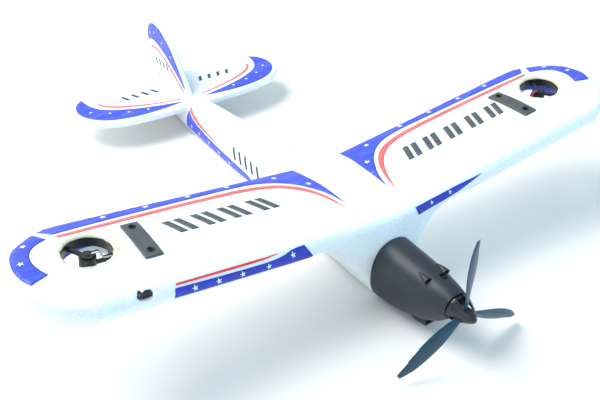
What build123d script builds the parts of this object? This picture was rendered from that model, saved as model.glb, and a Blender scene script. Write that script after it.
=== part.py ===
from build123d import *
import math
import os

os.makedirs("parts", exist_ok=True)

# ---------------------------------------------------------------------------
# Powered foam hand-launch glider, 480 mm span.
# Everything is laid out first in the aircraft datum frame: nose along -Y, tail
# along +Y, left-hand panel of a viewer facing the tail along -X, +Z up, with
# y = 0 and z = 0 at the wing root trailing edge.  The whole aircraft is then
# pitched so that the flat of the belly is level and moved so that the origin
# is under the middle of its bounding box, on the floor.
# ---------------------------------------------------------------------------

# --- driving dimensions (mm, degrees) ---------------------------------------
SPAN = 480.0                # wing span, tip to tip
DIHEDRAL_SLOPE = 0.1223     # rise of the wing per mm of half span (6.97 deg)
CHORD_CREASE = 88.0         # trailing edge to the crease over the leading edge
LE_NOSE_Y = -94.5           # foremost point of the rounded leading edge
WING_LE_BOTTOM = -8.8       # underside height just behind the leading edge
WING_TE_THICK = 2.6         # trailing-edge thickness
PITCH = 2.0                 # thrust line is this far nose-down from the belly

DUCT_X, DUCT_Y = 194.6, -43.1   # centre of a wing-tip duct
DUCT_HOLE_R = 16.9          # hole through the foam
RING_R_OUT = 16.0           # plastic ring, outside
RING_R_IN = 14.8            # plastic ring, bore
FAN_TIP_R = 13.9            # fan tip radius
CAN_R = 4.25                # 8.5 mm coreless motor
CAN_LEN = 15.0

PROP_R = 59.0               # propeller tip radius (118 mm diameter)
PROP_Y = -170.0             # propeller plane
THRUST_Z = -18.4            # thrust line height
SPINNER_BASE_Y = -162.9
SPINNER_LEN = 16.8
SPINNER_R = 9.6
NOSE_CAN_R = 6.0            # 12 mm coreless nose motor
NOSE_CAN_LEN = 20.0
SHAFT_R = 0.75              # 1.5 mm steel shaft
FAN_SHAFT_R = 0.5           # 1.0 mm steel shaft

COWL_REAR_Y = -97.5
COWL_FRONT_Y = -161.6
COWL_WALL = 1.4

STAB_HALF_SPAN = 112.0
STAB_T = 6.5
FIN_T = 5.6
WIRE_D = 1.1
SWITCH_TRAVEL = 1.0         # slide switch, each way from the middle

# cowl stations: y, half width, top z, bottom z
COWL = [(-97.5, 18.4, -7.4, -57.8), (-115.0, 17.5, -6.7, -55.0),
        (-130.0, 16.3, -6.6, -50.2), (-147.0, 13.6, -6.9, -42.4),
        (-161.6, 9.5, -8.9, -28.6)]
# fuselage and boom stations: y, half width, top z, bottom z, exponent, top narrowing
BODY = [(-97.5, 18.4, -7.4, -57.8, 2.3, 0.0), (-60.0, 19.0, -6.0, -58.4, 2.6, 0.05),
        (0.0, 18.7, -5.5, -60.4, 3.0, 0.15), (35.0, 18.8, -11.0, -61.6, 3.1, 0.15),
        (105.0, 17.2, -22.0, -63.6, 3.0, 0.15), (160.0, 16.6, -30.7, -65.0, 3.0, 0.12),
        (215.0, 15.8, -39.5, -65.8, 2.9, 0.10), (260.0, 11.0, -41.5, -64.0, 2.7, 0.05),
        (290.0, 6.0, -43.5, -62.5, 2.5, 0.0), (307.0, 3.4, -45.0, -61.0, 2.4, 0.0)]

parts = {}


def camber(y):
    s = -y / 640.0
    return 640.0 * (0.27735 * s - 1.65565 * s * s + 1.37818 * s ** 3)


def wing_top(x, y):
    return DIHEDRAL_SLOPE * abs(x) + camber(y)


def oval(y, a, top, bot, n=2.3, k=0.0, count=28):
    """Closed rounded section in the plane y = const."""
    zc, b = (top + bot) / 2, (top - bot) / 2
    pts = []
    for i in range(count):
        t = 2 * math.pi * i / count
        c, s = math.cos(t), math.sin(t)
        x = a * math.copysign(abs(c) ** (2 / n), c) * (1 - k * s)
        z = zc + b * math.copysign(abs(s) ** (2 / n), s)
        pts.append((x, y, z))
    return Face(Wire([Edge.make_spline(pts, periodic=True)]))


def loop_face(pts):
    return Face(Wire(Polyline(*pts, close=True).edges()))


def box(x0, x1, y0, y1, z0, z1):
    return Pos((x0 + x1) / 2, (y0 + y1) / 2, (z0 + z1) / 2) * Box(abs(x1 - x0), abs(y1 - y0), abs(z1 - z0))


def ycyl(r, y0, y1, x=0.0, z=THRUST_Z):
    return Pos(x, (y0 + y1) / 2, z) * Rot(90, 0, 0) * Cylinder(r, abs(y1 - y0))


# --- wing --------------------------------------------------------------------
def wing_profile():
    top = [(0, y, camber(y)) for y in (0, -12, -25, -40, -55, -70, -80, -CHORD_CREASE)]
    zc = camber(-CHORD_CREASE)
    nose = [(0, -CHORD_CREASE, zc), (0, -92.6, 3.6), (0, LE_NOSE_Y, -0.8),
            (0, -93.0, -5.4), (0, -88.0, WING_LE_BOTTOM)]
    under = [(0, -88.0, WING_LE_BOTTOM), (0, -70, -8.9), (0, -50, -8.2), (0, -25, -6.0),
             (0, 0, -WING_TE_THICK)]
    edges = [Edge.make_spline(top), Edge.make_spline(nose), Edge.make_spline(under),
             Edge.make_line((0, 0, -WING_TE_THICK), (0, 0, 0))]
    return Face(Wire(edges))


def planform(sign):
    """Outline of one panel, a little past the edges where the section itself ends."""
    tip = [(205.0, -98.0), (209.0, -92.4), (218.0, -88.4), (225.0, -83.0), (231.0, -75.0),
           (236.0, -65.0), (239.0, -54.0), (240.0, -45.0), (238.4, -33.5), (234.2, -22.0),
           (227.0, -12.5), (218.0, -4.6), (207.0, 1.0)]
    spl = Edge.make_spline([(sign * x, y, -60) for x, y in tip])
    a, b = tip[0], tip[-1]
    lines = [Edge.make_line((sign * b[0], b[1], -60), (0, b[1], -60)),
             Edge.make_line((0, b[1], -60), (0, a[1], -60)),
             Edge.make_line((0, a[1], -60), (sign * a[0], a[1], -60))]
    return extrude(Face(Wire([spl] + lines)), 160, dir=(0, 0, 1))


def panel(sign):
    f = wing_profile()
    L = math.hypot(1, DIHEDRAL_SLOPE)
    body = extrude(f, 242 * L, dir=(sign, 0, DIHEDRAL_SLOPE))
    return body & planform(sign)


def duct_loc(sign):
    """Local frame of a duct: +Z up along the duct axis, origin on the dihedral plane."""
    ang = math.degrees(math.atan(DIHEDRAL_SLOPE))
    return Location((sign * DUCT_X, DUCT_Y, DIHEDRAL_SLOPE * DUCT_X), (0, -sign * ang, 0))


print("wing")
half = {s: panel(s) for s in (-1, 1)}
wing = half[-1] + half[1]
for s in (-1, 1):
    wing -= duct_loc(s) * Cylinder(DUCT_HOLE_R, 60)
# clip-plate seats: shallow flats cut by the plates themselves, added below

# --- clip plates over the airfoil, with their screws and lower plates ----------
CLIP_X0, CLIP_X1 = 154.8, 166.4
CLIP_Y0, CLIP_Y1 = -25.2, -65.4


def strip(sign, x0, x1, y0, y1, lift0, lift1):
    """A strip following the airfoil top between two offsets from the surface."""
    n = 9
    ys = [y0 + (y1 - y0) * i / (n - 1) for i in range(n)]
    up = [(0, y, camber(y) + lift1) for y in ys]
    dn = [(0, y, camber(y) + lift0) for y in reversed(ys)]
    f = Face(Wire([Edge.make_spline(up), Edge.make_line(up[-1], dn[0]),
                   Edge.make_spline(dn), Edge.make_line(dn[-1], up[0])]))
    L = math.hypot(1, DIHEDRAL_SLOPE)
    solid = extrude(f, (x1 - x0) * L, dir=(sign, 0, DIHEDRAL_SLOPE))
    return Pos(sign * x0, 0, DIHEDRAL_SLOPE * x0) * solid


def under_z(y):
    pts = [(0, -2.6), (-25, -6.0), (-50, -8.2), (-70, -8.9), (-88, -8.8)]
    for (a, za), (b, zb) in zip(pts, pts[1:]):
        if b <= y <= a:
            return za + (zb - za) * (y - a) / (b - a)
    return -8.8


SCREW_Y = (-31.0, -59.6)
for s, name in ((-1, "left"), (1, "right")):
    xc = (CLIP_X0 + CLIP_X1) / 2
    tilt = Rot(0, -s * math.degrees(math.atan(DIHEDRAL_SLOPE)), 0)
    plate = strip(s, CLIP_X0, CLIP_X1, CLIP_Y0, CLIP_Y1, -0.8, 1.3)
    try:
        es = [e for e in plate.edges() if abs((e @ 0).X - (e @ 1).X) < 0.5 and e.length > 20
              and ((e @ 0.5).Z - wing_top((e @ 0.5).X, (e @ 0.5).Y)) > 0.5]
        plate = fillet(es, 0.7)
    except Exception as exc:
        print("clip fillet skipped", exc)
    seat = strip(s, CLIP_X0 - 0.1, CLIP_X1 + 0.1, CLIP_Y0 + 0.1, CLIP_Y1 - 0.1, -0.9, 4.0)
    wing -= seat
    under = Pos(s * xc, -45.3, DIHEDRAL_SLOPE * xc - 7.9) * tilt * Rot(3.6, 0, 0)
    low = under * Pos(0, 0, -0.3) * Box(11.6, 40.2, 1.8)
    wing -= under * Pos(0, 0, -5.4) * Box(11.8, 40.4, 12.2)
    screws = None
    for y in SCREW_Y:
        zt = wing_top(xc, y)
        base = Pos(s * xc, y, zt) * tilt
        head = base * Pos(0, 0, 0.55) * Cylinder(1.9, 1.0)
        shank = base * Pos(0, 0, -8.1) * Cylinder(0.8, 16.8)
        cross = base * Pos(0, 0, 1.0) * (Box(2.0, 0.45, 0.9) + Box(0.45, 2.0, 0.9))
        one = head + shank - cross
        screws = one if screws is None else screws + one
        plate -= base * Pos(0, 0, 1.0) * Cylinder(2.15, 1.95)
        plate -= base * Cylinder(0.85, 8)
        low -= base * Pos(0, 0, -8) * Cylinder(0.84, 40)
        wing -= base * Pos(0, 0, -8) * Cylinder(0.85, 40)
    parts["clip_plate_" + name] = plate
    parts["clip_lower_plate_" + name] = low
    parts["clip_screws_" + name] = screws

# wire tunnel through both panels, from each duct to the middle of the wing
for s in (-1, 1):
    L = math.hypot(1, DIHEDRAL_SLOPE)
    f = Face(Wire(Polyline((0, DUCT_Y - 2.3, -2.8), (0, DUCT_Y + 2.3, -2.8),
                           (0, DUCT_Y + 2.3, 0.7), (0, DUCT_Y - 2.3, 0.7), close=True).edges()))
    wing -= extrude(f, 182 * L, dir=(s, 0, DIHEDRAL_SLOPE))
# sight hole in the leading edge of the left panel
wing -= Pos(-178.5, -92.0, DIHEDRAL_SLOPE * 178.5 + 3.4) * Rot(0, 7, 0) * Rot(90, 0, 0) * (
    Cylinder(2.0, 14) + Pos(-3.0, 0, 0) * Cylinder(2.0, 14) + Pos(3.0, 0, 0) * Cylinder(1.6, 14)
    + Box(6, 3.6, 14))

# --- fuselage foam -----------------------------------------------------------
print("fuselage")
fus = loft([oval(y, a, t, b, n, k) for y, a, t, b, n, k in BODY])


# moulded gusset that spreads the fuselage into the underside of the wing
def gusset_loop(y, pts):
    right = [(x, y, z) for x, z in pts]
    left = [(-x, y, z) for x, z in reversed(pts) if x > 0.01]
    return loop_face(right + left)


gus = loft([
    gusset_loop(-97.4, [(0, -7.6), (9, -9.2), (14.0, -14), (16.6, -20), (18.0, -27), (18.2, -34),
                        (17.4, -42), (15.4, -48), (11.5, -53.6), (0.0, -57.6)]),
    gusset_loop(-94.5, [(0, -1.0), (13, -1.2), (26.0, -3.4), (34.0, -8), (34.5, -17), (28.0, -26),
                        (22.0, -35), (17.6, -44), (12.5, -52.4), (0.0, -57.7)]),
    gusset_loop(-91.5, [(0, 4.2), (17, 5.8), (36.0, 6.6), (52.0, 4.8), (49.0, -7), (37.0, -20),
                        (26.0, -32), (18.8, -43), (13.0, -52.0), (0.0, -57.8)]),
    gusset_loop(-88.0, [(0, 6.4), (20, 8.8), (45.0, 11.0), (62.0, 8.0), (54.0, -6.5), (40.0, -18),
                        (28.0, -30), (19.5, -42), (13.5, -52.0), (0.0, -58.0)]),
    gusset_loop(-60.0, [(0, -2.0), (20, 0.0), (42.0, 1.5), (56.0, 0.5), (46.0, -8.5), (34.0, -18),
                        (25.0, -30), (19.5, -42), (13.5, -52.0), (0.0, -58.2)]),
    gusset_loop(-20.0, [(0, -3.0), (10, -3.0), (22.0, -3.0), (30.0, -4.0), (25.0, -11.5), (21.5, -20),
                        (19.5, -30), (18.6, -42), (14.0, -52.5), (0.0, -59.4)]),
    gusset_loop(4.0, [(0, -6.5), (6, -7.0), (12.0, -8.5), (16.0, -12.0), (17.2, -18), (17.6, -25),
                      (17.8, -33), (17.6, -42), (14.0, -52.5), (0.0, -59.9)]),
], ruled=True)
fus = fus + gus
fus -= box(-90, 90, -CHORD_CREASE + 0.0, 0.5, 12, 60)
full_block = half[-1] + half[1]
fus -= full_block
# nothing of the fuselage stands above the wing
above = []
for s in (-1, 1):
    f = Face(Wire([Edge.make_spline([(0, y, camber(y) - 0.01) for y in (0, -25, -50, -70, -CHORD_CREASE)]),
                   Edge.make_line((0, -CHORD_CREASE, camber(-CHORD_CREASE) - 0.01), (0, -CHORD_CREASE, 40)),
                   Edge.make_line((0, -CHORD_CREASE, 40), (0, 0, 40)),
                   Edge.make_line((0, 0, 40), (0, 0, camber(0) - 0.01))]))
    fus -= extrude(f, 95, dir=(s, 0, DIHEDRAL_SLOPE))

# wire well: down through the wing root and forward to the cowl
well = box(-5.5, 5.5, -48, -38.5, -9.5, 1.0)
run = loft([Face(Wire(Polyline((-5.5, -48, -9.5), (5.5, -48, -9.5), (5.5, -48, -3.0), (-5.5, -48, -3.0), close=True).edges())),
            Face(Wire(Polyline((-5.5, -98.5, -19.0), (5.5, -98.5, -19.0), (5.5, -98.5, -12.5), (-5.5, -98.5, -12.5), close=True).edges()))],
           ruled=True)
wing -= box(-5.5, 5.5, -48, -38.5, -20, 0.8)
wing -= run
fus -= run
fus -= box(-5.5, 5.5, -48, -38.5, -14, 1.0)

# --- tail ------------------------------------------------------------------------
print("tail")


def stab_top(y):
    return -40.4 - 0.03 * (y - 240.0)


LE_PTS = [(0, 201.0), (30, 201.5), (55, 203.0), (75, 206.0), (90, 211.5), (101, 220.0),
          (108.5, 231.0), (112.0, 243.0), (111.0, 256.0), (104.5, 267.0), (94.0, 273.2),
          (80, 275.6), (55, 277.0), (30, 277.5), (0, 277.5)]
right_edge = Edge.make_spline([(x, y, 0) for x, y in LE_PTS], tangents=[(1, 0, 0), (-1, 0, 0)])
left_edge = Edge.make_spline([(-x, y, 0) for x, y in reversed(LE_PTS)], tangents=[(-1, 0, 0), (1, 0, 0)])
stab = extrude(Face(Wire([right_edge, left_edge])), STAB_T, dir=(0, 0, 1))
try:
    top_edges = [e for e in stab.edges() if (e @ 0.5).Z > STAB_T - 0.01 or (e @ 0.5).Z < 0.01]
    stab = fillet(top_edges, 2.4)
except Exception as exc:
    print("stab fillet skipped", exc)
stab = Pos(0, 240, -40.4) * Rot(-math.degrees(math.atan(0.03)), 0, 0) * Pos(0, -240, -STAB_T) * stab

FIN_PTS = [(0, 214.0, -44.0), (0, 221.0, -36.0), (0, 227.5, -28.0), (0, 240.0, -13.5), (0, 252.0, -1.0),
           (0, 264.0, 7.4), (0, 277.0, 12.6), (0, 289.0, 14.2), (0, 299.5, 11.8), (0, 307.0, 5.6),
           (0, 310.8, -3.4)]
fin_wire = Wire([Edge.make_spline(FIN_PTS), Edge.make_line((0, 310.8, -3.4), (0, 309.6, -44.0)),
                 Edge.make_line((0, 309.6, -44.0), (0, 308.0, -58.0)),
                 Edge.make_line((0, 308.0, -58.0), (0, 296.0, -58.0)),
                 Edge.make_line((0, 296.0, -58.0), (0, 292.0, -50.0)),
                 Edge.make_line((0, 292.0, -50.0), (0, 214.0, -50.0)),
                 Edge.make_line((0, 214.0, -50.0), (0, 214.0, -44.0))])
fin = Pos(-FIN_T / 2, 0, 0) * extrude(Face(fin_wire), FIN_T, dir=(1, 0, 0))
try:
    fe = [e for e in fin.edges() if abs((e @ 0).X - (e @ 1).X) < 0.1 and (e @ 0.5).Z > -35 and e.length > 20]
    fin = fillet(fe, 1.7)
except Exception as exc:
    print("fin fillet skipped", exc)
stab -= fin
fus -= stab
fus -= fin

# --- cowl -------------------------------------------------------------------
print("cowl")
outer = loft([oval(y, a, t, b) for y, a, t, b in COWL])
w = COWL_WALL
inner = loft([oval(COWL_REAR_Y + 0.5, COWL[0][1] - w, COWL[0][2] - w, COWL[0][3] + w)]
             + [oval(y, a - w, t - w, b + w) for y, a, t, b in COWL[1:-1]]
             + [oval(COWL_FRONT_Y + 1.6, 9.9 - w, -8.6 - w, -29.4 + w)])
# chin scoop
chin = loft([loop_face([(-5.6, -142.8, -40.0), (5.6, -142.8, -40.0), (5.6, -142.8, -49.8), (4.6, -142.8, -50.8),
                        (-4.6, -142.8, -50.8), (-5.6, -142.8, -49.8)]),
             loop_face([(-5.6, -134.0, -44.0), (5.6, -134.0, -44.0), (5.6, -134.0, -52.0), (4.6, -134.0, -53.0),
                        (-4.6, -134.0, -53.0), (-5.6, -134.0, -52.0)]),
             loop_face([(-4.6, -122.0, -48.0), (4.6, -122.0, -48.0), (4.6, -122.0, -52.8), (3.6, -122.0, -53.8),
                        (-3.6, -122.0, -53.8), (-4.6, -122.0, -52.8)])], ruled=True)
chin_in = loft([loop_face([(-4.3, -144.0, -38.0), (4.3, -144.0, -38.0), (4.3, -144.0, -49.2), (-4.3, -144.0, -49.2)]),
                loop_face([(-4.3, -133.0, -42.0), (4.3, -133.0, -42.0), (4.3, -133.0, -51.6), (-4.3, -133.0, -51.6)])],
               ruled=True)
cowl = outer + chin
# side scoops
for s in (-1, 1):
    bump = loft([Face(Wire([Edge.make_spline([(s * 7.8 + r * math.cos(t), y, zc + h * math.sin(t))
                 for t in [2 * math.pi * i / 16 for i in range(16)]], periodic=True)]))
                 for y, r, h, zc in ((-142.4, 2.9, 2.5, -8.9), (-138.5, 2.2, 2.0, -8.5), (-133.0, 0.5, 0.5, -8.0))])
    cowl = cowl + bump
cowl -= inner
cowl -= chin_in
for s in (-1, 1):
    mouth = loft([Face(Wire([Edge.make_spline([(s * 7.8 + r * math.cos(t), y, zc + h * math.sin(t))
                  for t in [2 * math.pi * i / 16 for i in range(16)]], periodic=True)]))
                  for y, r, h, zc in ((-143.2, 2.2, 1.2, -8.0), (-139.0, 1.5, 1.0, -8.0), (-137.0, 0.9, 0.7, -8.4))])
    cowl -= mouth
SLOT_X, SLOT_Y = 2.6, -145.3
cowl -= box(SLOT_X - 2.25, SLOT_X + 2.25, SLOT_Y - 2.7, SLOT_Y + 2.7, -13, 0)
for a, b in ((SLOT_X - 2.6, SLOT_X - 1.95), (SLOT_X + 1.95, SLOT_X + 2.6)):
    cowl += box(a, b, SLOT_Y - 4.2, SLOT_Y + 4.2, -11.8, -7.7)
cowl -= box(SLOT_X - 1.95, SLOT_X + 1.95, SLOT_Y - 2.7, SLOT_Y + 2.7, -13, 0)
cowl += box(-2.0, 2.0, -139.4, -135.2, -51.2, -48.6)
cowl -= ycyl(4.2, COWL_FRONT_Y - 2, COWL_FRONT_Y + 4)
# spigot that the cowl slides on
former_outer = oval(-99.6, 18.3 - w - 0.05, -7.3 - w - 0.05, -57.5 + w + 0.05)
former = extrude(former_outer, 2.0, dir=(0, 1, 0))
former -= box(-7, 7, -101, -96, -21.5, -12.5)
former -= box(-8, 8, -101, -96, -50, -42.5)
tray = box(-11.5, 11.5, -134.0, -99.6, -40.6, -39.2)
for s in (-1, 1):
    tray += box(s * 11.6, s * 10.2, -130.0, -99.6, -40.6, -25.4)
    tray += box(s * 10.3, s * 9.0, -128.0, -104.0, -28.2, -27.2)
    tray += box(s * 10.3, s * 9.5, -118.0, -114.0, -26.2, -25.6)
tray += box(-4.5, 4.5, -134.0, -133.0, -40.6, -35.5)
battery_tray = former + tray

# motor mount ring inside the nose
mount = ycyl(7.2, -159.9, -151.0) - ycyl(NOSE_CAN_R, -161, -145)
mount += (ycyl(7.2, -159.9, -158.6) - ycyl(2.6, -161, -150))
for a in (35, 145, 215, 325):
    ax, az = math.cos(math.radians(a)), math.sin(math.radians(a))
    mount += Pos(ax * 7.3, -157.0, THRUST_Z + az * 7.3) * Rot(0, -a, 0) * Box(1.2, 4.0, 1.6)
mount -= ycyl(NOSE_CAN_R, -158.6, -140)
mount &= loft([oval(COWL_REAR_Y + 0.5, COWL[0][1] - w - .15, COWL[0][2] - w - .15, COWL[0][3] + w + .15)]
              + [oval(y, a - w - .15, t - w - .15, b + w + .15) for y, a, t, b in COWL[1:-1]]
              + [oval(COWL_FRONT_Y + 1.65, 9.9 - w - .15, -8.6 - w - .15, -29.4 + w + .15)])

CAN_Y1 = -158.6
can = ycyl(NOSE_CAN_R, CAN_Y1, CAN_Y1 + NOSE_CAN_LEN)
can -= ycyl(NOSE_CAN_R - 0.7, CAN_Y1 + 0.7, CAN_Y1 + NOSE_CAN_LEN + 1)
can += ycyl(2.4, CAN_Y1 - 1.4, CAN_Y1 + 0.2)
can -= ycyl(1.6, CAN_Y1 - 3, CAN_Y1 + 3)
front_bush = ycyl(1.6, CAN_Y1 - 1.4, CAN_Y1 + 1.6) - ycyl(SHAFT_R + 0.03, CAN_Y1 - 3, CAN_Y1 + 3)
endcap = ycyl(NOSE_CAN_R - 0.7, CAN_Y1 + 18.0, CAN_Y1 + 20.0)
endcap += ycyl(2.6, CAN_Y1 + 20.0, CAN_Y1 + 21.2)
endcap -= ycyl(1.5, CAN_Y1 + 16, CAN_Y1 + 20.4)
rear_bush = ycyl(1.5, CAN_Y1 + 17.4, CAN_Y1 + 20.4) - ycyl(SHAFT_R + 0.03, CAN_Y1 + 16, CAN_Y1 + 22)
rotor = ycyl(4.7, CAN_Y1 + 2.4, CAN_Y1 + 16.8) - ycyl(SHAFT_R, CAN_Y1, CAN_Y1 + 20)
shaft = ycyl(SHAFT_R, PROP_Y - 2.2, CAN_Y1 + 20.0)
parts.update(nose_motor_can=can, nose_motor_bush_front=front_bush, nose_motor_end_cap=endcap,
             nose_motor_bush_rear=rear_bush, nose_motor_rotor=rotor, propeller_shaft=shaft,
             nose_motor_mount=mount)

# --- propeller and spinner -----------------------------------------------------
print("propeller")


def section_face(point, n=9):
    """A closed blade section from two splines that meet at its two edges; point(t) runs round it once."""
    upper = [point(math.pi * i / n) for i in range(n + 1)]
    lower = [point(math.pi + math.pi * i / n) for i in range(n)] + [upper[0]]
    return Face(Wire([Edge.make_spline(upper), Edge.make_spline(lower)]))


def between(rows, r):
    """A station at radius r, smoothly between the rows of (r, chord, thickness, pitch)."""
    i = max(j for j in range(len(rows) - 1) if rows[j][0] <= r)
    p0, p1, p2, p3 = rows[max(i - 1, 0)], rows[i], rows[i + 1], rows[min(i + 2, len(rows) - 1)]
    t = (r - p1[0]) / (p2[0] - p1[0])
    out = [r]
    for k in (1, 2, 3):
        m1 = (p2[k] - p0[k]) / (p2[0] - p0[0]) * (p2[0] - p1[0])
        m2 = (p3[k] - p1[k]) / (p3[0] - p1[0]) * (p2[0] - p1[0])
        out.append((2 * t**3 - 3 * t * t + 1) * p1[k] + (t**3 - 2 * t * t + t) * m1
                   + (3 * t * t - 2 * t**3) * p2[k] + (t**3 - t * t) * m2)
    return out


def blade():
    """One blade along +Z from the hub, helical pitch, +X edge trailing."""
    st = [(3.2, 4.6, 1.9, 32.0), (9.5, 6.2, 1.8, 31.0), (16.0, 9.0, 1.6, 27.0), (25.0, 11.6, 1.4, 22.0),
          (35.0, 12.2, 1.2, 18.0), (45.0, 10.6, 1.05, 15.5), (53.0, 7.4, 0.9, 14.0), (57.4, 5.0, 0.8, 13.0),
          (59.0, 4.0, 0.7, 13.0)]
    radii = [3.2, 6.4, 9.5, 12.7, 16.0, 20.5, 25.0, 30.0, 35.0, 40.0, 45.0, 49.0, 53.0, 55.4, 57.4, 59.0]
    secs = []
    for r in radii:
        r, c, th, beta = st[-1] if r == 59.0 else between(st, r)
        b = math.radians(beta)
        e = (math.cos(b), math.sin(b))
        nrm = (-math.sin(b), math.cos(b))
        sweep = max(r - 50.0, 0.0) * 0.16

        def point(t, r=r, c=c, th=th, e=e, nrm=nrm, sweep=sweep):
            u = 0.5 * c * math.cos(t)
            v = 0.5 * th * math.sin(t) * (1.0 - 0.25 * math.cos(t)) - 0.05 * c * (1 - (2 * u / c) ** 2)
            u += sweep
            return (u * e[0] + v * nrm[0], PROP_Y + u * e[1] + v * nrm[1], THRUST_Z + r)

        secs.append(section_face(point))
    return loft(secs, ruled=True)


hub = ycyl(4.4, PROP_Y - 2.2, PROP_Y + 4.6)
one = blade()
prop = hub
for k in range(3):
    ang = -1.0 + 120.0 * k
    rot = Pos(0, PROP_Y, THRUST_Z) * Rot(0, ang, 0) * Pos(0, -PROP_Y, -THRUST_Z)
    prop = prop + rot * one
prop -= ycyl(SHAFT_R, PROP_Y - 5, PROP_Y + 6)

tip_y = SPINNER_BASE_Y - SPINNER_LEN
cone_pts = [(SPINNER_R, 0.0), (SPINNER_R - 0.15, 1.4), (8.6, 4.0), (6.9, 8.0), (5.1, 11.6), (3.2, 14.6),
            (1.9, 16.1), (0.9, 16.7), (0.0, SPINNER_LEN)]


def revolve_y(outline):
    """Revolve a list of (radius, distance forward of the spinner base) about the thrust line."""
    pts = [(r, SPINNER_BASE_Y - d, THRUST_Z) for r, d in outline]
    f = Face(Wire(Polyline(*pts, close=True).edges()))
    return revolve(f, Axis((0, 0, THRUST_Z), (0, 1, 0)), 360)


sp_out = revolve(Face(Wire([Edge.make_spline([(r, SPINNER_BASE_Y - d, THRUST_Z) for r, d in cone_pts]),
                            Edge.make_line((0, SPINNER_BASE_Y - SPINNER_LEN, THRUST_Z), (0, SPINNER_BASE_Y, THRUST_Z)),
                            Edge.make_line((0, SPINNER_BASE_Y, THRUST_Z), (SPINNER_R, SPINNER_BASE_Y, THRUST_Z))])),
                 Axis((0, 0, THRUST_Z), (0, 1, 0)), 360)
sp_in = revolve_y([(0, 1.2), (SPINNER_R - 1.3, 1.2), (7.5, 4.0), (6.0, 7.6), (4.9, 9.8), (0.0, 9.8)])
spinner = sp_out - sp_in
back = ycyl(SPINNER_R - 1.35, SPINNER_BASE_Y - 1.2, SPINNER_BASE_Y - 0.1) - ycyl(SHAFT_R, -170, -155)
spinner -= ycyl(SPINNER_R - 1.3, SPINNER_BASE_Y - 1.3, SPINNER_BASE_Y + 1)
for k in range(3):
    ang = -1.0 + 120.0 * k
    rot = Pos(0, PROP_Y, THRUST_Z) * Rot(0, ang, 0) * Pos(0, -PROP_Y, -THRUST_Z)
    notch = box(-3.2, 3.2, SPINNER_BASE_Y - 10.8, SPINNER_BASE_Y + 0.5, THRUST_Z + 4.5, THRUST_Z + 14)
    spinner -= rot * notch
parts.update(propeller=prop, spinner=spinner, spinner_back_plate=back)

# --- battery, board, switch, charge socket ----------------------------------------
print("electronics")
battery = box(-10, 10, -131.5, -101.5, -39.1, -32.1)
battery = fillet(battery.edges().filter_by(Axis.Y), 1.4)
board_ics = (box(-2.5, 2.5, -119.5, -114.5, -26.2, -25.2) + box(4.0, 7.0, -112, -109, -26.2, -25.3)
             + box(-7.5, -5.0, -126, -121, -26.2, -25.0) + box(2.6, 5.4, -123.5, -120.5, -26.2, -24.9)
             + box(-7, -5.4, -110, -108.6, -26.2, -25.5))
board = box(-9.95, 9.95, -129.0, -103.0, -27.2, -26.2)
parts.update(battery=battery, control_board=board, board_components=board_ics)

switch_body = box(SLOT_X - 1.9, SLOT_X + 1.9, SLOT_Y - 4.2, SLOT_Y + 4.2, -12.2, -9.6)
switch_body &= inner
switch_body -= box(SLOT_X - 0.85, SLOT_X + 0.85, SLOT_Y - 2.3, SLOT_Y + 2.3, -11.6, -5)
slider = box(SLOT_X - 0.75, SLOT_X + 0.75, SLOT_Y - 1.2, SLOT_Y + 1.2, -11.5, -7.8)
parts.update(power_switch_body=switch_body, power_switch_slider=slider)
sock = box(-3.6, 3.6, -140.2, -134.4, -48.6, -44.4) - box(-2.8, 2.8, -141, -136.0, -47.9, -45.1)
pins = box(-1.35, -0.75, -139.6, -136.0, -46.8, -46.2) + box(0.75, 1.35, -139.6, -136.0, -46.8, -46.2)
parts.update(charge_socket=sock, charge_socket_pins=pins)

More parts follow.
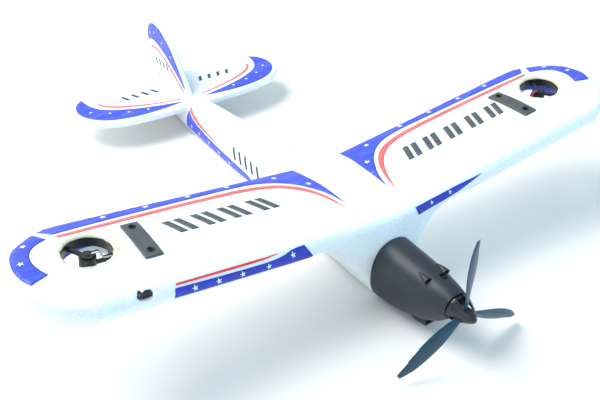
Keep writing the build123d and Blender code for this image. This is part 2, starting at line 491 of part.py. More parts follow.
# --- wing-tip ducted fans ---------------------------------------------------------
print("fans")
ARM_A = {-1: (0.0, 120.0, 240.0), 1: (180.0, 60.0, 300.0)}   # the first arm carries the wires inboard
for s, name in ((-1, "left"), (1, "right")):
    loc = duct_loc(s)
    # short rim level with the foam, and a tab that reaches down to the arm under the wires
    a0 = ARM_A[s][0]
    ring = Pos(0, 0, 3.2) * (Cylinder(RING_R_OUT, 6.0) - Cylinder(RING_R_IN, 8))
    tab = Pos(0, 0, -1.3) * (Cylinder(RING_R_OUT, 4.2) - Cylinder(RING_R_IN, 8))
    ring += tab & (Rot(0, 0, a0) * Pos(RING_R_OUT - 0.6, 0, -1.3) * Box(5.0, 8.4, 4.2))
    ring += Pos(0, 0, -0.45) * Cylinder(CAN_R + 1.0, 8.1)
    for k, a in enumerate(ARM_A[s]):
        ca, sa = math.cos(math.radians(a)), math.sin(math.radians(a))
        mid = (CAN_R + 0.7 + RING_R_IN + 0.3) / 2
        ring += Pos(ca * mid, sa * mid, -2.4 if k == 0 else 2.5) * Rot(0, 0, a) * Box(RING_R_IN - CAN_R, 2.4, 2.0)
    ring -= Pos(0, 0, 0) * Cylinder(CAN_R, 30)
    # notch in the rim where the wires pass into the foam
    ring -= Rot(0, 0, a0) * Pos(RING_R_OUT - 0.6, 0, -0.3) * Box(3.4, 3.8, 3.0)
    parts["duct_ring_" + name] = loc * ring
    mcan = Pos(0, 0, 4.6 - CAN_LEN / 2) * Cylinder(CAN_R, CAN_LEN)
    mcan -= Pos(0, 0, 4.6 - CAN_LEN / 2 + 0.6) * Cylinder(CAN_R - 0.5, CAN_LEN)
    mcan -= Pos(0, 0, 4.6 - CAN_LEN) * Cylinder(0.9, 4)
    mbush = Pos(0, 0, 4.6 - CAN_LEN + 0.9) * (Cylinder(0.9, 1.8) - Cylinder(FAN_SHAFT_R + 0.03, 4))
    mcap = Pos(0, 0, 4.6 - 0.75) * Cylinder(CAN_R - 0.5, 1.5)
    mcap += Pos(0, 0, 4.6 + 0.3) * Cylinder(1.6, 0.6)
    mrotor = Pos(0, 0, -3.2) * (Cylinder(3.0, 10.0) - Cylinder(FAN_SHAFT_R, 12))
    fshaft = Pos(0, 0, (2.4 - 15.6) / 2) * Cylinder(FAN_SHAFT_R, 18.0)
    parts["fan_motor_can_" + name] = loc * mcan
    parts["fan_motor_bush_" + name] = loc * mbush
    parts["fan_motor_end_cap_" + name] = loc * mcap
    parts["fan_motor_rotor_" + name] = loc * mrotor
    parts["fan_shaft_" + name] = loc * fshaft
    # fan below the motor
    hubf = Pos(0, 0, -13.4) * Cylinder(3.0, 4.4)
    blades = None
    for k in range(4):
        secs = []
        st = [(2.2, 4.6, 1.0, 38.0), (7.5, 6.2, 0.9, 27.0), (FAN_TIP_R, 6.6, 0.7, 18.0)]
        for r in (2.2, 4.0, 5.8, 7.5, 9.6, 11.7, FAN_TIP_R):
            r, c, th, beta = st[-1] if r == FAN_TIP_R else between(st, r)
            b = math.radians(beta)

            def point(t, r=r, c=c, th=th, b=b):
                u, v = 0.5 * c * math.cos(t), 0.5 * th * math.sin(t)
                return (r, u * math.cos(b) - v * math.sin(b),
                        -13.2 + (u * math.sin(b) + v * math.cos(b)) * s * -1)

            secs.append(section_face(point, 6))
        bl = Rot(0, 0, 90 * k + 20) * loft(secs, ruled=True)
        blades = bl if blades is None else blades + bl
    fan = hubf + (blades)
    fan -= Pos(0, 0, -12) * Cylinder(FAN_SHAFT_R, 20)
    parts["fan_" + name] = loc * fan
    # bead of hot-melt adhesive between the foam and the ring
    bead = Pos(0, 0, 4.0) * (Cylinder(DUCT_HOLE_R, 1.6) - Cylinder(RING_R_OUT, 4))
    bead += Pos(0, 0, 1.4) * (Cylinder(DUCT_HOLE_R, 3.6) - Cylinder(RING_R_OUT, 12))
    bead -= Rot(0, 0, a0) * Pos(RING_R_OUT + 0.4, 0, -0.4) * Box(4.8, 4.4, 3.4)
    parts["duct_glue_bead_" + name] = loc * bead

# --- wires ---------------------------------------------------------------------
print("wires")


def tube(points, radii, name, d=WIRE_D):
    line = FilletPolyline(*points, radius=radii)
    start = line @ 0
    path = Wire(line.edges())
    prof = Plane(origin=start, z_dir=line % 0) * Circle(d / 2)
    t = sweep(prof, path=path)
    want = math.pi * d * d / 4 * line.length
    print(name, "length", round(line.length, 1), "radii", radii, "volume ratio", round(t.volume / want, 3))
    return t


for s, name, cols in ((-1, "left", ("white", "black")), (1, "right", ("red", "blue"))):
    loc = duct_loc(s)
    a0 = ARM_A[s][0]
    inb = (math.cos(math.radians(a0)), math.sin(math.radians(a0)))
    for j, col in enumerate(cols):
        o = (-0.75, 0.75)[j]
        t = -s * o

        def lp(r, t, z):
            v = loc * Location((r * inb[0] - t * inb[1], r * inb[1] + t * inb[0], z))
            p = v.position
            return (p.X, p.Y, p.Z)
        p0 = lp(2.2, t, 5.3)
        p1 = lp(6.8, t, 5.3)
        p2 = lp(9.8, t, -0.2)
        p3 = lp(15.0, t, -0.4)
        xd = DUCT_X - 20.5
        q1 = (s * xd, DUCT_Y + o, DIHEDRAL_SLOPE * xd - 1.0)
        off = s * (2.3 - o)
        q2 = (off, DUCT_Y + o, DIHEDRAL_SLOPE * abs(off) - 1.2)
        q3 = (off, -51.5, -6.0)
        q4 = (off, -98.0, -15.6)
        pts = [p0, p1, p2, p3, q1, q2, q3, q4, (off, -105.5, -24.4)]
        parts["fan_wire_%s_%s" % (name, col)] = tube(pts, [1.6, 2.0, 2.2, 3.0, 1.6, 6.0, 3.5], name + " " + col)

# nose motor and battery leads, inside the cowl
for j, (col, x) in enumerate((("red", 2.0), ("black", -2.0))):
    ye = CAN_Y1 + 20.0
    parts["nose_motor_lead_" + col] = tube([(x * 2.0, ye, THRUST_Z + 1.0), (x * 2.0, ye + 4.0, THRUST_Z + 1.0),
                                            (x * 2.0, -130.0, -22.6), (x * 2.0, -127.6, -25.6)], [1.8, 1.8],
                                           "nose lead " + col)
    parts["battery_lead_" + col] = tube([(x * 3.4, -131.5, -36.0), (x * 3.4, -136.4, -36.0),
                                         (x * 3.4, -136.4, -26.7), (x * 3.4, -129.0, -26.7)], [2.0, 2.0],
                                        "battery lead " + col)

parts.update(wing_foam=wing, fuselage_foam=fus, stabiliser_foam=stab, fin_foam=fin, nose_cowl=cowl,
             battery_tray=battery_tray)

# --- place everything in the object's own frame -----------------------------------
pitched = {k: Rot(PITCH, 0, 0) * v for k, v in parts.items()}
# level flat on the belly
zmin_belly = -59.7
floor_cut = box(-60, 60, -400, 400, zmin_belly - 30, zmin_belly)
for k in ("fuselage_foam", "nose_cowl"):
    pitched[k] = pitched[k] - floor_cut
bbs = [v.bounding_box() for v in pitched.values()]
y0 = min(b.min.Y for b in bbs)
y1 = max(b.max.Y for b in bbs)
x0 = min(b.min.X for b in bbs)
x1 = max(b.max.X for b in bbs)
z0 = min(b.min.Z for b in bbs)
z1 = max(b.max.Z for b in bbs)
print("datum box", round(x0, 2), round(x1, 2), round(y0, 2), round(y1, 2), round(z0, 2), round(z1, 2))
SHIFT_Y = -(y0 + y1) / 2
SHIFT_Z = -zmin_belly
print("SHIFT_Y", SHIFT_Y, "SHIFT_Z", SHIFT_Z)
for k, v in sorted(pitched.items()):
    placed = Pos(0, SHIFT_Y, SHIFT_Z) * v
    sol = placed.solids()
    out = sol[0] if len(sol) == 1 else Compound(children=list(sol))
    export_step(out, "parts/%s.step" % k)
print(len(pitched), "nodes")
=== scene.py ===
import math
import random

import bpy
import bmesh
import numpy as np
from mathutils import Matrix, Vector
from mathutils.bvhtree import BVHTree
from mathutils.geometry import delaunay_2d_cdt


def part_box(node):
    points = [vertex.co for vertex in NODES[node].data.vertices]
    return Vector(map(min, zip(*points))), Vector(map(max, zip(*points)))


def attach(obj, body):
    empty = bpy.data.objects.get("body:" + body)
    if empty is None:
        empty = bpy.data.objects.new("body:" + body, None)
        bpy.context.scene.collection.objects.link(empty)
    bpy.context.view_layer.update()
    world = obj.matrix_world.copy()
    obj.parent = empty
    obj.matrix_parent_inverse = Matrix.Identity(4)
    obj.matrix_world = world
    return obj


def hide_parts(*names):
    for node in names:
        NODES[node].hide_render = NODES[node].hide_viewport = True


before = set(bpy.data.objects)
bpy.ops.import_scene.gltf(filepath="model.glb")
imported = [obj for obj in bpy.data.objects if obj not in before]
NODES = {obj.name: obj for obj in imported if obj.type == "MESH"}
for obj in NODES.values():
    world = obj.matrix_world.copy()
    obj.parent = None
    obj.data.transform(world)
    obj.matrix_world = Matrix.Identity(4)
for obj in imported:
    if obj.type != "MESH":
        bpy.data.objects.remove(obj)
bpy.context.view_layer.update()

rng = np.random.default_rng(7)
random.seed(7)

# ---------------------------------------------------------------- datum frame to row frame
C2, S2 = math.cos(math.radians(2.0)), math.sin(math.radians(2.0))
SHIFT_Y, SHIFT_Z = -65.98790256733942, 59.7


def P(x, y, z):
    """A point of the glider's own datum frame, in mm, as metres of the row frame."""
    return Vector((x, y * C2 - z * S2 + SHIFT_Y, y * S2 + z * C2 + SHIFT_Z)) * 0.001


def D(x, y, z):
    """A direction of the datum frame in the row frame."""
    return Vector((x, y * C2 - z * S2, y * S2 + z * C2))


def to_datum(co):
    """Row-frame metres (n, 3) to datum-frame mm."""
    a = np.asarray(co) * 1000.0
    y, z = a[:, 1] - SHIFT_Y, a[:, 2] - SHIFT_Z
    return np.stack([a[:, 0], y * C2 + z * S2, -y * S2 + z * C2], 1)


def camber(y):
    s = -y / 640.0
    return 640.0 * (0.27735 * s - 1.65565 * s * s + 1.37818 * s ** 3)


def wing_top(x, y):
    return 0.1223 * abs(x) + camber(y)


# ---------------------------------------------------------------- camera
cam_data = bpy.data.cameras.new("camera")
cam_data.lens = 44.83
cam_data.sensor_width = 36.0
cam_data.sensor_fit = "HORIZONTAL"
cam_data.clip_start = 0.01
cam_data.clip_end = 20.0
cam = bpy.data.objects.new("camera", cam_data)
bpy.context.scene.collection.objects.link(cam)
M0 = Vector((0.83576, -0.54900, -0.01056))
M1 = Vector((-0.31795, -0.46818, -0.82445))
M2 = Vector((0.44768, 0.69240, -0.56583))
R = Matrix((M0, -M1, -M2)).transposed()
cam.matrix_world = Matrix.Translation(Vector((-0.2771, -0.47266, 0.36399))) @ R.to_4x4()
bpy.context.scene.camera = cam


# ---------------------------------------------------------------- material helpers
def new_material(name):
    m = bpy.data.materials.new(name)
    m.use_nodes = True
    nt = m.node_tree
    nt.nodes.clear()
    out = nt.nodes.new("ShaderNodeOutputMaterial")
    b = nt.nodes.new("ShaderNodeBsdfPrincipled")
    nt.links.new(b.outputs["BSDF"], out.inputs["Surface"])
    tc = nt.nodes.new("ShaderNodeTexCoord")
    return m, nt, b, tc.outputs["Object"]


def ramp(nt, fac, stops):
    r = nt.nodes.new("ShaderNodeValToRGB")
    e = r.color_ramp.elements
    while len(e) < len(stops):
        e.new(0.5)
    for k, (pos, col) in enumerate(stops):
        e[k].position = pos
        e[k].color = (*col, 1.0)
    nt.links.new(fac, r.inputs["Fac"])
    return r.outputs["Color"]


def noise(nt, vec, scale, detail=3.0, rough=0.5, distortion=0.0):
    n = nt.nodes.new("ShaderNodeTexNoise")
    n.inputs["Scale"].default_value = scale
    n.inputs["Detail"].default_value = detail
    n.inputs["Roughness"].default_value = rough
    n.inputs["Distortion"].default_value = distortion
    nt.links.new(vec, n.inputs["Vector"])
    return n.outputs["Fac"]


def voronoi(nt, vec, scale, feature="F1", rand=1.0):
    v = nt.nodes.new("ShaderNodeTexVoronoi")
    v.feature = feature
    v.inputs["Scale"].default_value = scale
    v.inputs["Randomness"].default_value = rand
    nt.links.new(vec, v.inputs["Vector"])
    return v.outputs["Distance"]


def mapping(nt, vec, scale=(1, 1, 1), rot=(0, 0, 0)):
    m = nt.nodes.new("ShaderNodeMapping")
    m.inputs["Scale"].default_value = scale
    m.inputs["Rotation"].default_value = rot
    nt.links.new(vec, m.inputs["Vector"])
    return m.outputs["Vector"]


def math_node(nt, op, a, b=None, c=None):
    m = nt.nodes.new("ShaderNodeMath")
    m.operation = op
    for k, v in enumerate((a, b, c)):
        if v is None:
            continue
        if isinstance(v, (int, float)):
            m.inputs[k].default_value = v
        else:
            nt.links.new(v, m.inputs[k])
    return m.outputs[0]


def bump(nt, height, strength, distance, normal=None):
    b = nt.nodes.new("ShaderNodeBump")
    b.inputs["Strength"].default_value = strength
    b.inputs["Distance"].default_value = distance
    nt.links.new(height, b.inputs["Height"])
    if normal is not None:
        nt.links.new(normal, b.inputs["Normal"])
    return b.outputs["Normal"]


def foam_material(name, base=(0.88, 0.925, 0.95), painted_seam_shade=(0.62, 0.79, 0.88), strength=0.42):
    """Moulded expanded-bead foam: soft polygonal beads about 3 mm across with fine seams and a few pits. The seams are
    coloured with painted cyan shading.
    """
    m, nt, b, vec = new_material(name)
    warp = noise(nt, vec, 120.0, 2.0)
    edge = voronoi(nt, vec, 330.0, "DISTANCE_TO_EDGE")
    cell = voronoi(nt, vec, 330.0, "F1")
    seam = math_node(nt, "SMOOTH_MIN", edge, 0.16, 0.1)
    fine = noise(nt, vec, 900.0, 4.0, 0.6)
    broad = noise(nt, vec, 26.0, 3.0, 0.55)
    pits = voronoi(nt, mapping(nt, vec, (1.0, 1.0, 1.0), (0.4, 0.2, 0.1)), 210.0, "F1")
    h1 = math_node(nt, "MULTIPLY", seam, 3.2)
    h2 = math_node(nt, "MULTIPLY_ADD", fine, 0.16, h1)
    h3 = math_node(nt, "MULTIPLY_ADD", warp, 0.35, h2)
    h4 = math_node(nt, "MULTIPLY_ADD", math_node(nt, "LESS_THAN", pits, 0.12), -0.35, h3)
    nt.links.new(bump(nt, h4, strength, 0.00042), b.inputs["Normal"])
    # colour: random broad tone, plus painted cyan shading in the seams between beads
    tone = math_node(nt, "MULTIPLY_ADD", broad, 0.5, math_node(nt, "MULTIPLY", seam, 2.6))
    tone = math_node(nt, "MULTIPLY_ADD", cell, 0.12, tone)
    col = ramp(nt, tone, [(0.10, painted_seam_shade), (0.46, base), (0.85, tuple(min(1.0, c * 1.035) for c in base))])
    nt.links.new(col, b.inputs["Base Color"])
    rough = math_node(nt, "MULTIPLY_ADD", fine, 0.22, 0.46)
    nt.links.new(rough, b.inputs["Roughness"])
    b.inputs["IOR"].default_value = 1.38
    return m


def film_material(name, dark, mid, light, gloss=0.30, wrinkle=0.5):
    """Printed plastic film: shows the beads beneath it, with fine pulled wrinkles. Its colour goes lighter and darker
    with the wrinkles as painted shading and highlight, plus fine specks of uneven ink.
    """
    m, nt, b, vec = new_material(name)
    long_v = mapping(nt, vec, (26.0, 150.0, 80.0), (0.0, 0.0, 0.30))
    wr = noise(nt, long_v, 1.0, 4.0, 0.6, 0.8)
    wr2 = noise(nt, mapping(nt, vec, (60.0, 260.0, 120.0), (0.0, 0.0, -0.55)), 1.0, 3.0, 0.55, 0.4)
    bead = voronoi(nt, vec, 330.0, "DISTANCE_TO_EDGE")
    speck = noise(nt, vec, 1500.0, 2.0)
    h = math_node(nt, "MULTIPLY", wr, 1.3)
    h = math_node(nt, "MULTIPLY_ADD", wr2, 0.8, h)
    h = math_node(nt, "MULTIPLY_ADD", bead, 0.7, h)
    nt.links.new(bump(nt, h, wrinkle, 0.00045), b.inputs["Normal"])
    # colour follows the wrinkle noise as painted shading and highlight; the specks are uneven ink
    t = math_node(nt, "MULTIPLY_ADD", wr2, 0.45, math_node(nt, "MULTIPLY", wr, 0.45))
    t = math_node(nt, "MULTIPLY_ADD", speck, 0.12, t)
    nt.links.new(ramp(nt, t, [(0.30, dark), (0.52, mid), (0.72, light)]), b.inputs["Base Color"])
    nt.links.new(math_node(nt, "MULTIPLY_ADD", wr2, 0.20, gloss), b.inputs["Roughness"])
    return m


def plastic_material(name, lo, hi, rough=0.45, grain=1400.0, strength=0.12, dist=0.00012, metal=0.0, streak=0.0,
                     wear=None):
    """Moulded plastic or metal: fine grain, uneven tone, rubbed patches."""
    m, nt, b, vec = new_material(name)
    g = noise(nt, vec, grain, 3.0, 0.6)
    broad = noise(nt, vec, 70.0, 3.0, 0.55)
    scratch = noise(nt, mapping(nt, vec, (220.0, 2400.0, 900.0), (0.2, 0.1, 0.7)), 1.0, 2.0, 0.5)
    t = math_node(nt, "MULTIPLY_ADD", broad, 0.6, math_node(nt, "MULTIPLY", g, 0.4))
    stops = [(0.30, lo), (0.68, hi)]
    nt.links.new(ramp(nt, t, stops), b.inputs["Base Color"])
    h = math_node(nt, "MULTIPLY_ADD", scratch, 0.35 + streak, g)
    nt.links.new(bump(nt, h, strength, dist), b.inputs["Normal"])
    r = math_node(nt, "MULTIPLY_ADD", broad, 0.22, rough - 0.11)
    nt.links.new(math_node(nt, "MULTIPLY_ADD", scratch, 0.08, r), b.inputs["Roughness"])
    b.inputs["Metallic"].default_value = metal
    return m


MAT = {}
MAT["foam"] = foam_material("foam_white")
MAT["blue"] = film_material("film_blue", (0.030, 0.055, 0.52), (0.060, 0.095, 0.72), (0.15, 0.20, 0.88), 0.32, 0.75)
MAT["blue_deep"] = film_material("film_blue_deep", (0.012, 0.018, 0.34), (0.020, 0.035, 0.50), (0.045, 0.075, 0.66),
                                 0.30, 0.45)
MAT["red"] = film_material("film_red", (0.86, 0.115, 0.115), (0.93, 0.17, 0.165), (0.97, 0.27, 0.25), 0.38, 0.35)
MAT["red_deep"] = film_material("film_red_deep", (0.72, 0.025, 0.03), (0.85, 0.05, 0.05), (0.9, 0.10, 0.09), 0.34, 0.3)
MAT["mark"] = film_material("film_grey", (0.060, 0.067, 0.078), (0.088, 0.097, 0.112), (0.13, 0.14, 0.155), 0.42, 0.3)
MAT["mark_teal"] = film_material("film_teal", (0.02, 0.045, 0.075), (0.035, 0.075, 0.11), (0.06, 0.11, 0.15), 0.42, 0.3)
MAT["star"] = film_material("film_white", (0.80, 0.84, 0.92), (0.88, 0.91, 0.96), (0.95, 0.97, 1.0), 0.40, 0.3)
MAT["cowl"] = plastic_material("cowl_matte", (0.011, 0.017, 0.025), (0.024, 0.031, 0.041), 0.42, 1500.0, 0.22, 0.00016)
MAT["spinner"] = plastic_material("spinner_gloss", (0.012, 0.014, 0.018), (0.026, 0.030, 0.036), 0.24, 1800.0, 0.06,
                                  0.00008)
# propeller: near-black plastic; its dark blue base colour is a painted reflection of the blue surroundings
MAT["propeller"] = plastic_material("propeller_blue_sheen_painted", (0.004, 0.036, 0.072), (0.009, 0.068, 0.122), 0.31, 1300.0, 0.08,
                                    0.0001)
MAT["clip"] = plastic_material("clip_grey", (0.060, 0.066, 0.072), (0.105, 0.112, 0.12), 0.40, 1500.0, 0.15, 0.00012)
MAT["screw"] = plastic_material("screw_black", (0.010, 0.010, 0.011), (0.035, 0.035, 0.038), 0.34, 2600.0, 0.2, 0.00008,
                                0.6)
MAT["ring"] = plastic_material("ring_black", (0.010, 0.011, 0.013), (0.028, 0.030, 0.034), 0.36, 1800.0, 0.12, 0.0001)
MAT["fan"] = plastic_material("fan_black", (0.012, 0.013, 0.015), (0.030, 0.032, 0.036), 0.30, 1500.0, 0.1, 0.0001)
MAT["brass"] = plastic_material("brass", (0.55, 0.34, 0.10), (0.74, 0.50, 0.18), 0.30, 3000.0, 0.1, 0.00005, 1.0)
MAT["copper"] = plastic_material("winding", (0.40, 0.13, 0.05), (0.62, 0.24, 0.10), 0.38, 3500.0, 0.3, 0.00008, 1.0)
MAT["endcap"] = plastic_material("endcap", (0.78, 0.77, 0.72), (0.88, 0.87, 0.82), 0.45, 1800.0, 0.12, 0.0001)
MAT["can"] = plastic_material("motor_can", (0.42, 0.43, 0.45), (0.62, 0.63, 0.65), 0.26, 3200.0, 0.10, 0.00005, 1.0)
MAT["can_dark"] = plastic_material("fan_can_dark", (0.020, 0.024, 0.030), (0.045, 0.052, 0.062), 0.30, 3200.0, 0.10,
                                   0.00005, 0.7)
MAT["shaft"] = plastic_material("shaft_steel", (0.52, 0.53, 0.55), (0.70, 0.71, 0.73), 0.20, 4000.0, 0.06, 0.00004, 1.0)
MAT["battery"] = plastic_material("battery_wrap", (0.42, 0.45, 0.50), (0.60, 0.63, 0.68), 0.32, 1200.0, 0.12, 0.0001)
MAT["inner"] = plastic_material("inner_plastic", (0.05, 0.055, 0.06), (0.09, 0.095, 0.10), 0.45, 1500.0, 0.15, 0.0001)
MAT["board"] = plastic_material("board_green", (0.010, 0.07, 0.035), (0.018, 0.12, 0.055), 0.34, 1200.0, 0.1, 0.00008)
MAT["chip"] = plastic_material("component_black", (0.010, 0.010, 0.011), (0.028, 0.028, 0.030), 0.40, 1800.0, 0.15,
                               0.00008)
MAT["socket"] = plastic_material("socket_black", (0.012, 0.012, 0.013), (0.03, 0.03, 0.032), 0.36, 1800.0, 0.12, 0.0001)
MAT["pin"] = plastic_material("pin_metal", (0.62, 0.52, 0.28), (0.80, 0.68, 0.38), 0.24, 3500.0, 0.08, 0.00004, 1.0)
MAT["switch"] = plastic_material("switch_black", (0.005, 0.005, 0.006), (0.014, 0.014, 0.016), 0.38, 1600.0, 0.18, 0.0001)
MAT["wire_white"] = plastic_material("wire_white", (0.74, 0.76, 0.78), (0.86, 0.88, 0.90), 0.38, 1400.0, 0.08, 0.00008)
MAT["wire_black"] = plastic_material("wire_black", (0.012, 0.012, 0.014), (0.030, 0.030, 0.034), 0.36, 1400.0, 0.08,
                                     0.00008)
MAT["wire_red"] = plastic_material("wire_red", (0.52, 0.018, 0.015), (0.74, 0.04, 0.03), 0.36, 1400.0, 0.08, 0.00008)
MAT["wire_blue"] = plastic_material("wire_blue", (0.02, 0.06, 0.42), (0.04, 0.11, 0.60), 0.36, 1400.0, 0.08, 0.00008)


def glue_material():
    m, nt, b, vec = new_material("hot_melt_glue")
    n = noise(nt, vec, 260.0, 4.0, 0.6, 0.6)
    v = voronoi(nt, vec, 420.0, "SMOOTH_F1")
    h = math_node(nt, "MULTIPLY_ADD", v, 0.5, n)
    nt.links.new(bump(nt, h, 0.35, 0.0004), b.inputs["Normal"])
    nt.links.new(ramp(nt, n, [(0.30, (0.70, 0.58, 0.30)), (0.47, (0.86, 0.80, 0.60)), (0.66, (0.93, 0.91, 0.82))]),
                 b.inputs["Base Color"])
    nt.links.new(math_node(nt, "MULTIPLY_ADD", n, 0.25, 0.16), b.inputs["Roughness"])
    b.inputs["Subsurface Weight"].default_value = 0.25
    b.inputs["Subsurface Radius"].default_value = (0.002, 0.0016, 0.0009)
    b.inputs["Subsurface Scale"].default_value = 1.0
    return m


MAT["glue"] = glue_material()

CAD_MATERIAL = {
    "battery": "battery", "battery_lead_black": "wire_black", "battery_lead_red": "wire_red", "battery_tray": "inner",
    "board_components": "chip", "charge_socket": "socket", "charge_socket_pins": "pin",
    "clip_lower_plate_left": "clip", "clip_lower_plate_right": "clip", "clip_plate_left": "clip",
    "clip_plate_right": "clip", "clip_screws_left": "screw", "clip_screws_right": "screw", "control_board": "board",
    "duct_ring_left": "ring", "duct_ring_right": "ring", "fan_left": "fan", "fan_right": "fan",
    "fan_motor_bush_left": "brass", "fan_motor_bush_right": "brass", "fan_motor_can_left": "can_dark",
    "fan_motor_can_right": "can_dark", "fan_motor_end_cap_left": "chip", "fan_motor_end_cap_right": "chip",
    "fan_motor_rotor_left": "copper", "fan_motor_rotor_right": "copper", "fan_shaft_left": "shaft",
    "fan_shaft_right": "shaft", "fan_wire_left_black": "wire_black", "fan_wire_left_white": "wire_white",
    "fan_wire_right_blue": "wire_blue", "fan_wire_right_red": "wire_red", "nose_cowl": "cowl",
    "nose_motor_bush_front": "brass", "nose_motor_bush_rear": "brass", "nose_motor_can": "can",
    "nose_motor_end_cap": "endcap", "nose_motor_lead_black": "wire_black", "nose_motor_lead_red": "wire_red",
    "nose_motor_mount": "inner", "nose_motor_rotor": "copper", "power_switch_body": "switch",
    "power_switch_slider": "switch", "propeller": "propeller", "propeller_shaft": "shaft", "spinner": "spinner",
    "spinner_back_plate": "spinner", "wing_foam": "foam", "fuselage_foam": "foam", "stabiliser_foam": "foam",
    "fin_foam": "foam", "duct_glue_bead_left": "glue", "duct_glue_bead_right": "glue",
}
for node, key in CAD_MATERIAL.items():
    slots = NODES[node].material_slots
    if len(slots) == 0:
        NODES[node].data.materials.append(MAT[key])
    for s in slots:
        s.material = MAT[key]


# ---------------------------------------------------------------- mesh helpers
def link(obj):
    bpy.context.scene.collection.objects.link(obj)
    return obj


def mesh_object(name, verts, faces, mat, smooth=True):
    me = bpy.data.meshes.new(name)
    me.from_pydata([tuple(v) for v in verts], [], faces)
    me.update()
    if smooth:
        me.polygons.foreach_set("use_smooth", [True] * len(me.polygons))
    o = link(bpy.data.objects.new(name, me))
    me.materials.append(mat)
    return o


def get_co(me):
    co = np.empty(len(me.vertices) * 3)
    me.vertices.foreach_get("co", co)
    return co.reshape(-1, 3)


def set_co(me, co):
    me.vertices.foreach_set("co", np.ascontiguousarray(co).ravel())
    me.update()


def relax(me, weight, steps):
    """Laplacian smoothing; weight is one number per vertex, 0 to 1."""
    co = get_co(me)
    n = len(co)
    e = np.empty(len(me.edges) * 2, np.int64)
    me.edges.foreach_get("vertices", e)
    e = e.reshape(-1, 2)
    deg = np.bincount(e.ravel(), minlength=n).astype(float)
    deg[deg == 0] = 1
    w = np.asarray(weight)[:, None]
    for _ in range(steps):
        acc = np.stack([np.bincount(e[:, 0], co[e[:, 1], k], n) + np.bincount(e[:, 1], co[e[:, 0], k], n)
                        for k in range(3)], 1)
        co += w * (acc / deg[:, None] - co)
    set_co(me, co)


def remeshed(name, node, voxel, mat, mesh=None):
    """A CAD solid as one even quad mesh, for smoothing."""
    me = mesh if mesh is not None else NODES[node].data.copy()
    o = link(bpy.data.objects.new(name, me))
    o.matrix_world = Matrix.Identity(4)
    mod = o.modifiers.new("remesh", "REMESH")
    mod.mode = "VOXEL"
    mod.voxel_size = voxel
    mod.adaptivity = 0.0
    mod.use_smooth_shade = True
    bpy.context.view_layer.update()
    dg = bpy.context.evaluated_depsgraph_get()
    new = bpy.data.meshes.new_from_object(o.evaluated_get(dg))
    o.modifiers.clear()
    o.data = new
    new.name = name
    new.materials.clear()
    new.materials.append(mat)
    new.polygons.foreach_set("use_smooth", [True] * len(new.polygons))
    return o


def bvh_of(obj):
    me = obj.data
    co = get_co(me)
    return BVHTree.FromPolygons([Vector(c) for c in co], [tuple(p.vertices) for p in me.polygons])


# ---------------------------------------------------------------- foam pieces
VOX = 0.0012

# the wing and the fuselage read as one moulding: joined, remeshed, then blended at the root
both = NODES["wing_foam"].data.copy()
jb = bmesh.new()
jb.from_mesh(both)
jb.from_mesh(NODES["fuselage_foam"].data)
jb.to_mesh(both)
jb.free()
main = remeshed("airframe_moulding", "wing_foam", VOX, MAT["foam"], both)
co = to_datum(get_co(main.data))
relax(main.data, np.full(len(co), 0.5), 3)
ax, yy, zz = np.abs(co[:, 0]), co[:, 1], co[:, 2]


def band(v, lo, hi, soft):
    return np.clip((v - lo) / soft, 0, 1) * np.clip((hi - v) / soft, 0, 1)


tip = np.clip((ax - 200.0) / 20.0, 0.0, 1.0)
duct_r = np.hypot(ax - 194.6, yy + 43.1)
keep = np.clip((duct_r - 18.5) / 6.0, 0.0, 1.0)
relax(main.data, 0.6 * tip * keep, 26)
# nose top runs up into the front crease of the wing
root = band(yy, -96.6, -84.5, 3.0) * np.clip((74.0 - ax) / 12.0, 0, 1) * band(zz, -26.0, 4.4, 3.0)
relax(main.data, 0.62 * root, 170)
# coves under the wing root
gus = (np.clip((ax - 12.0) / 4.0, 0, 1) * np.clip((80.0 - ax) / 10.0, 0, 1) * np.clip((zz + 50.0) / 10.0, 0, 1)
       * np.clip((30.0 - yy) / 20.0, 0, 1) * np.clip((yy + 96.6) / 3.0, 0, 1)
       * np.clip((0.1223 * ax - 5.2 - zz) / 3.0, 0, 1))
relax(main.data, 0.6 * gus, 90)
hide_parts("wing_foam", "fuselage_foam")
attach(main, "airframe")

stab = remeshed("stabiliser_moulding", "stabiliser_foam", VOX * 0.85, MAT["foam"])
relax(stab.data, np.full(len(stab.data.vertices), 0.5), 6)
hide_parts("stabiliser_foam")
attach(stab, "airframe")

fin = remeshed("fin_moulding", "fin_foam", VOX * 0.75, MAT["foam"])
relax(fin.data, np.full(len(fin.data.vertices), 0.5), 8)
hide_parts("fin_foam")
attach(fin, "airframe")

MAIN = bvh_of(main)
BVH = {"wing": MAIN, "body": MAIN, "stab": bvh_of(stab), "fin": bvh_of(fin)}


# ---------------------------------------------------------------- printed film
def spline(pts, n=8):
    """Catmull-Rom through the points."""
    p = [np.array(q, float) for q in pts]
    p = [2 * p[0] - p[1]] + p + [2 * p[-1] - p[-2]]
    out = []
    for i in range(1, len(p) - 2):
        for k in range(n):
            t = k / n
            a, b, c, d = p[i - 1], p[i], p[i + 1], p[i + 2]
            out.append(tuple(0.5 * (2 * b + (c - a) * t + (2 * a - 5 * b + 4 * c - d) * t * t
                                    + (3 * b - a - 3 * c + d) * t ** 3)))
    out.append(tuple(p[-2]))
    return out


def dense(outline, step):
    out = []
    n = len(outline)
    for i in range(n):
        a, b = np.array(outline[i], float), np.array(outline[(i + 1) % n], float)
        L = np.linalg.norm(b - a)
        if L < 1e-6:
            continue
        k = max(1, int(math.ceil(L / step)))
        for j in range(k):
            out.append(a + (b - a) * j / k)
    return np.array(out)


def inside(poly, q):
    x, y = q[:, 0], q[:, 1]
    r = np.zeros(len(q), bool)
    n = len(poly)
    for i in range(n):
        x0, y0 = poly[i]
        x1, y1 = poly[(i + 1) % n]
        c = (y0 > y) != (y1 > y)
        with np.errstate(divide="ignore", invalid="ignore"):
            xi = (x1 - x0) * (y - y0) / (y1 - y0) + x0
        r ^= c & (x < xi)
    return r


